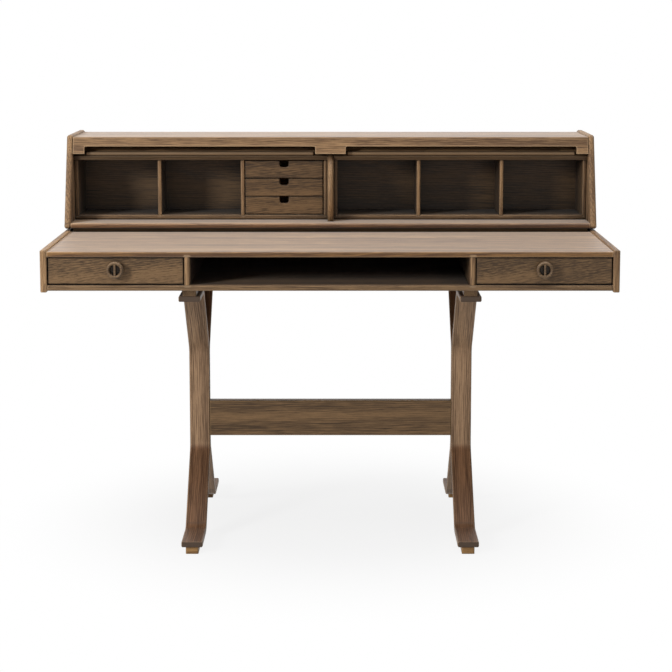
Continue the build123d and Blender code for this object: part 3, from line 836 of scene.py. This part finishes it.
@dataclass
class LargeDrawer:
    """Drawer beside the open shelf, with a turned knob."""

    side: str

    def dress(self, dresser: Dresser) -> None:
        """Dark front and knob of walnut, with a plain beech box behind them."""
        dresser.wood(f"{self.side}_drawer_front", FRONT_WALNUT, Grain.ALONG_X, shade=0.88, slant_deg=5.0)
        dresser.wood(f"{self.side}_drawer_knob", KNOB_WALNUT, Grain.ALONG_X, shade=0.5)
        dresser.wood(f"{self.side}_drawer_box", BEECH, Grain.ALONG_Y)
        dresser.wood(f"{self.side}_drawer_bottom", BEECH, Grain.ALONG_X, shade=0.9)


@dataclass
class UpperCase:
    """Slant-sided case that stands on the desk top."""

    top: str = "hutch_top"
    fascia: str = "hutch_fascia"
    sill: str = "hutch_sill"
    back: str = "hutch_back"
    plinth: str = "hutch_plinth"

    def dress(self, dresser: Dresser) -> None:
        """Give the case its walnut, with upright fibres in its sides and its partition."""
        dresser.wood(self.top, WAXED_WALNUT, Grain.ALONG_X)
        dresser.wood(self.fascia, WALNUT, Grain.ALONG_X, shade=0.82)
        dresser.wood(self.sill, SILL_WALNUT, Grain.ALONG_X)
        dresser.wood(self.back, DARK_WALNUT, Grain.ALONG_X)
        # The plinth strip is painted near black as the shadow gap under the case
        dresser.wood(self.plinth, SHADOW_GAP_WALNUT, Grain.ALONG_X, shade=0.15)
        # Their long recess shade reach paints shade on the inner faces of the sides and the mullion
        for node in ("hutch_side_left", "hutch_side_right", "hutch_mullion"):
            dresser.wood(node, SHELF_WALNUT, Grain.ALONG_Z, shade=0.85)


@dataclass
class Pigeonholes:
    """Open compartments of one bay."""

    side: str

    def dress(self, dresser: Dresser) -> None:
        """Pale edges in front of a back, floor and top painted darker as shade."""
        dresser.wood(f"pigeonhole_uprights_{self.side}", DIVIDER_WALNUT, Grain.ALONG_Z, shade=0.9)
        # The floor, top and back get darker copies of the walnut: painted shade inside the holes
        for piece, shade in (("floor", 0.7), ("top", 0.5)):
            dresser.wood(f"pigeonhole_{piece}_{self.side}", DIVIDER_WALNUT, Grain.ALONG_X, shade=shade)
        dresser.wood(f"pigeonhole_back_{self.side}", HOLE_WALNUT, Grain.ALONG_X, shade=0.52)


@dataclass
class SmallDrawers:
    """Three small drawers, one above the other, and the strips that carry them."""

    levels: tuple[str, ...] = ("lower", "middle", "upper")

    def dress(self, dresser: Dresser) -> None:
        """Walnut fronts on beech trays."""
        for level in self.levels:
            drawer = f"{level}_small_drawer"
            dresser.wood(f"{drawer}_front", FRONT_WALNUT, Grain.ALONG_X, shade=0.78, slant_deg=3.0)
            dresser.wood(f"{drawer}_tray", BEECH, Grain.ALONG_Y)
        dresser.wood("small_drawer_runners", BEECH, Grain.ALONG_Y)


@dataclass
class Tambour:
    """Rolling front of one bay: lead rail, slats, and the canvas that joins them."""

    side: str
    axis: Vector
    canvas: bpy.types.Material
    steps: int = 51
    thickness_mm: float = 0.8
    bead_mm: float = 8.0
    bead_rub_and_light: str = "#E8C49A"
    bead_share: float = 0.19

    def dress(self, dresser: Dresser) -> None:
        """Walnut rail and slats, all cut with the fibres along them."""
        rail = f"{self.side}_tambour_rail"
        # The rail gets a very dark copy of the walnut: painted shade for the shadow under its bead
        wood = dresser.wood(rail, RAIL_WALNUT, Grain.ALONG_X, shade=0.25)
        # The paler bead is partly rubbing and partly a painted highlight
        self.rub_and_light_bead(wood, dresser.nodes[rail])
        dresser.wood(f"{self.side}_tambour_slats", WALNUT, Grain.ALONG_X, shade=0.9)

    def rub_and_light_bead(self, wood: bpy.types.Material, rail: bpy.types.Object) -> None:
        """Turn the rail's handle bead paler: partly rubbed by fingers, partly a painted highlight.

        Args:
            wood: Wood of the rail.
            rail: The rail, whose bead lies furthest from the tambour's axis.
        """
        centre = self.axis.yz
        bead = max((corner.co.yz - centre).length for corner in rail.data.vertices) - self.bead_mm * MM
        tree = wood.node_tree
        colour = tree.nodes["Principled BSDF"].inputs["Base Color"]
        place = add_node(tree, "ShaderNodeTexCoord").outputs["Object"]
        beside = add_node(
            tree,
            "ShaderNodeVectorMath",
            {"operation": "MULTIPLY_ADD", 1: (0.0, 1.0, 1.0), 2: (0.0, -centre.x, -centre.y)},
            {0: place},
        ).outputs["Vector"]
        away = add_node(
            tree, "ShaderNodeVectorMath", {"operation": "LENGTH"}, {0: beside}
        ).outputs["Value"]
        share = add_node(
            tree,
            "ShaderNodeMapRange",
            {"From Min": bead, "From Max": bead + MM, "To Max": self.bead_share},
            {"Value": away},
        ).outputs["Result"]
        rubbed_and_painted = add_node(
            tree,
            "ShaderNodeMix",
            {"data_type": "RGBA", 7: linear(self.bead_rub_and_light)},
            {0: share, 6: colour.links[0].from_socket},
        )
        tree.links.new(rubbed_and_painted.outputs[2], colour)

    def build(self) -> bpy.types.Object:
        """Spin the canvas round the tambour's axis.

        Returns:
            The sheet, which rides on the tambour and stands for its plain solid.
        """
        name = f"{self.side}_tambour_canvas"
        low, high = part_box(name)
        outer = high.z - self.axis.z
        start, end = [math.acos((self.axis.y - y) / outer) for y in (low.y, high.y)]
        radius = outer - self.thickness_mm * MM / 2
        sheet = bmesh.new()
        y = self.axis.y - radius * math.cos(start)
        z = self.axis.z + radius * math.sin(start)
        ends = [sheet.verts.new((x, y, z)) for x in (low.x, high.x)]
        sheet.edges.new(ends)
        bmesh.ops.spin(
            sheet,
            geom=sheet.verts[:] + sheet.edges[:],
            cent=self.axis,
            axis=(-1, 0, 0),
            angle=end - start,
            steps=self.steps,
            use_merge=False,
        )
        bmesh.ops.recalc_face_normals(sheet, faces=sheet.faces[:])
        bmesh.ops.solidify(sheet, geom=sheet.faces[:], thickness=self.thickness_mm * MM / 2)
        flat = sheet.loops.layers.uv.new("flat")
        for face in sheet.faces:
            for loop in face.loops:
                place = loop.vert.co - self.axis
                loop[flat].uv = (place.x, radius * math.atan2(place.z, -place.y))
        mesh = bpy.data.meshes.new(f"{self.side}_canvas")
        sheet.to_mesh(mesh)
        sheet.free()
        mesh.materials.append(self.canvas)
        piece = bpy.data.objects.new(f"{self.side}_canvas", mesh)
        bpy.context.scene.collection.objects.link(piece)
        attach(piece, f"{self.side}_tambour")
        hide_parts(name)
        return piece


@dataclass
class Fixings:
    """Screws and bolts."""

    nodes: tuple[str, ...] = ("leg_bolts", "hutch_screws", "left_knob_screw", "right_knob_screw")

    def dress(self, dresser: Dresser) -> None:
        """Give all of them one plated steel."""
        steel = PlatedSteel().material()
        for node in self.nodes:
            dresser.put(node, steel)


@dataclass
class Lamp:
    """One soft box: where it stands, where it points, its sides in metres and its power in watts."""

    name: str
    place: tuple[float, float, float]
    aim: tuple[float, float, float]
    size: tuple[float, float]
    power: float

    def build(self) -> None:
        """Add the lamp to the scene."""
        data = bpy.data.lights.new(self.name, "AREA")
        data.shape = "RECTANGLE"
        data.size, data.size_y = self.size
        data.energy = self.power
        lamp = bpy.data.objects.new(self.name, data)
        lamp.location = self.place
        way = Vector(self.aim) - Vector(self.place)
        lamp.rotation_euler = way.to_track_quat("-Z", "Y").to_euler()
        bpy.context.scene.collection.objects.link(lamp)


@dataclass
class Studio:
    """White studio: pale floor, soft boxes and the camera in front of the desk."""

    camera_place: tuple[float, float, float] = (0.0143, -4.6858, 1.3016)
    pitch_deg: float = 7.78
    lens_mm: float = 98.57
    shift_y: float = -0.1
    sensor_mm: float = 36.0
    sight_m: float = 60.0
    floor_half: float = 14.0
    floor_white: str = "#C8C8C8"
    ambient: float = 0.06
    floor_near: float = 0.25
    floor_far: float = 0.9
    floor_glow: float = 0.85
    lamps: tuple[Lamp, ...] = (
        Lamp("key_box", (-3.4, -3.1, 2.1), (0.0, 0.0, 0.6), (1.0, 1.0), 148.0),
        Lamp("top_box", (0.0, -0.2, 3.6), (0.0, -0.1, 0.0), (4.4, 3.4), 125.0),
        Lamp("fill_box", (1.6, -4.5, 1.2), (0.0, 0.0, 0.6), (1.6, 1.6), 8.0),
    )

    def build(self) -> None:
        """Put up the camera, the lamps, the world and the floor."""
        scene = bpy.context.scene
        scene.view_settings.view_transform = "Standard"
        data = bpy.data.cameras.new("front_camera")
        data.lens = self.lens_mm
        data.sensor_width = self.sensor_mm
        data.shift_y = self.shift_y
        data.clip_end = self.sight_m
        camera = bpy.data.objects.new("front_camera", data)
        camera.location = self.camera_place
        camera.rotation_euler = (math.radians(90 - self.pitch_deg), 0, 0)
        scene.collection.objects.link(camera)
        scene.camera = camera
        for lamp in self.lamps:
            lamp.build()
        self.world(scene)
        self.floor(scene)
        LOG.info("studio stands")

    def seen_rays(self, tree: bpy.types.NodeTree) -> bpy.types.NodeSocket:
        """Say which rays see the white backdrop.

        Args:
            tree: Node tree that asks.

        Returns:
            A socket that is one for camera, glossy and transmission rays.
        """
        path = add_node(tree, "ShaderNodeLightPath")
        seen = path.outputs["Is Camera Ray"]
        for ray in ("Is Glossy Ray", "Is Transmission Ray"):
            seen = add_node(
                tree, "ShaderNodeMath", {"operation": "MAXIMUM"}, {0: seen, 1: path.outputs[ray]}
            ).outputs["Value"]
        return seen

    def world(self, scene: bpy.types.Scene) -> None:
        """Give the scene a white backdrop and a little light from all round."""
        world = bpy.data.worlds.new("white_room")
        scene.world = world
        world.use_nodes = True
        tree = world.node_tree
        tree.nodes.clear()
        seen = self.seen_rays(tree)
        soft = add_node(tree, "ShaderNodeBackground", {"Strength": self.ambient, "Color": WHITE})
        white = add_node(tree, "ShaderNodeBackground", {"Strength": 1.0, "Color": WHITE})
        mixed = add_node(
            tree,
            "ShaderNodeMixShader",
            links={0: seen, 1: soft.outputs["Background"], 2: white.outputs["Background"]},
        )
        add_node(tree, "ShaderNodeOutputWorld", links={"Surface": mixed.outputs["Shader"]})

    def floor(self, scene: bpy.types.Scene) -> None:
        """Lay a pale floor that keeps the desk's shadow."""
        plane = bmesh.new()
        bmesh.ops.create_grid(plane, x_segments=1, y_segments=1, size=self.floor_half)
        mesh = bpy.data.meshes.new("studio_floor")
        plane.to_mesh(mesh)
        plane.free()
        floor = bpy.data.objects.new("studio_floor", mesh)
        scene.collection.objects.link(floor)
        material = bpy.data.materials.new("white_floor")
        material.use_nodes = True
        tree = material.node_tree
        tree.nodes.clear()
        matt = add_node(tree, "ShaderNodeBsdfDiffuse", {"Color": linear(self.floor_white)})
        glow = add_node(tree, "ShaderNodeEmission", {"Color": WHITE, "Strength": 1.0})
        coords = add_node(tree, "ShaderNodeTexCoord").outputs["Object"]
        away = add_node(
            tree, "ShaderNodeVectorMath", {"operation": "LENGTH"}, {0: coords}
        ).outputs["Value"]
        whiter = add_node(
            tree,
            "ShaderNodeMapRange",
            {
                "interpolation_type": "SMOOTHSTEP",
                "From Min": self.floor_near,
                "From Max": self.floor_far,
                "To Min": self.floor_glow,
            },
            {"Value": away},
        ).outputs["Result"]
        share = add_node(
            tree, "ShaderNodeMath", {"operation": "MULTIPLY"}, {0: self.seen_rays(tree), 1: whiter}
        )
        mixed = add_node(
            tree,
            "ShaderNodeMixShader",
            links={0: share.outputs["Value"], 1: matt.outputs["BSDF"], 2: glow.outputs["Emission"]},
        )
        add_node(tree, "ShaderNodeOutputMaterial", links={"Surface": mixed.outputs["Shader"]})
        mesh.materials.append(material)


def tambour_axis(side: str) -> Vector:
    """Point on the axis that a tambour turns about, from its joint."""
    joint = next(j for j in frame["joints"] if j["name"] == f"{side}_tambour_roll")
    return Vector(joint["pos_m"])


def main() -> None:
    """Build and dress each sub-assembly in order, then put up the studio."""
    logging.basicConfig(level=logging.INFO, format="%(message)s")
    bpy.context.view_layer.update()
    dresser = Dresser(frame["nodes"])
    cloth = Canvas().material()
    DeskBody().dress(dresser)
    LegFrames().dress(dresser)
    for side in SIDES:
        LargeDrawer(side).dress(dresser)
    UpperCase().dress(dresser)
    for side in SIDES:
        Pigeonholes(side).dress(dresser)
        tambour = Tambour(side, tambour_axis(side), cloth)
        tambour.dress(dresser)
        tambour.build()
    SmallDrawers().dress(dresser)
    Fixings().dress(dresser)
    Studio().build()


if __name__ == "__main__":
    main()
